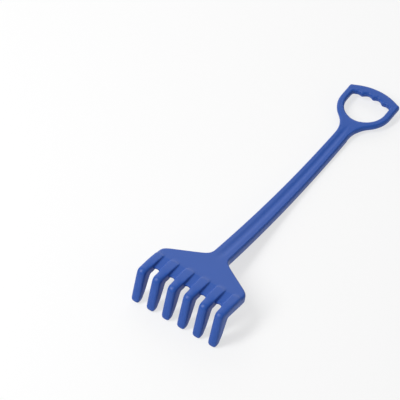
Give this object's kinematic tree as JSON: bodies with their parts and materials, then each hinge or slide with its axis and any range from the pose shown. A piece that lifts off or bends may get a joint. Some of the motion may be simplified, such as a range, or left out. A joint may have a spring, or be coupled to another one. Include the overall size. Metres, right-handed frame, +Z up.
{
  "type": "sand rake",
  "caption": "Children's long sand rake in one colour: flat head with hooked tines, bowed shaft with a shallow groove, and a D-shaped grip with finger hollows.",
  "frame": {"origin": "on the floor, under the middle of the rake's bounding box", "axes": "+X across the rake to its right, +Y along the rake from the tines to the grip, +Z up, with the tine tips and the belly of the shaft on the floor"},
  "size_m": [0.1596, 0.6038, 0.0588],
  "materials": {
    "body": "smooth satin-gloss moulded plastic, mid blue all through"
  },
  "bodies": {
    "root": {"palm_plate": "body", "palm_ribs": "body", "tine_1": "body", "tine_2": "body", "tine_3": "body", "tine_4": "body", "tine_5": "body", "tine_6": "body", "tine_webs": "body", "shaft": "body", "shaft_ribs": "body", "grip_yoke": "body", "grip_arm_left": "body", "grip_arm_right": "body", "grip_crossbar": "body"}
  },
  "joints": []
}
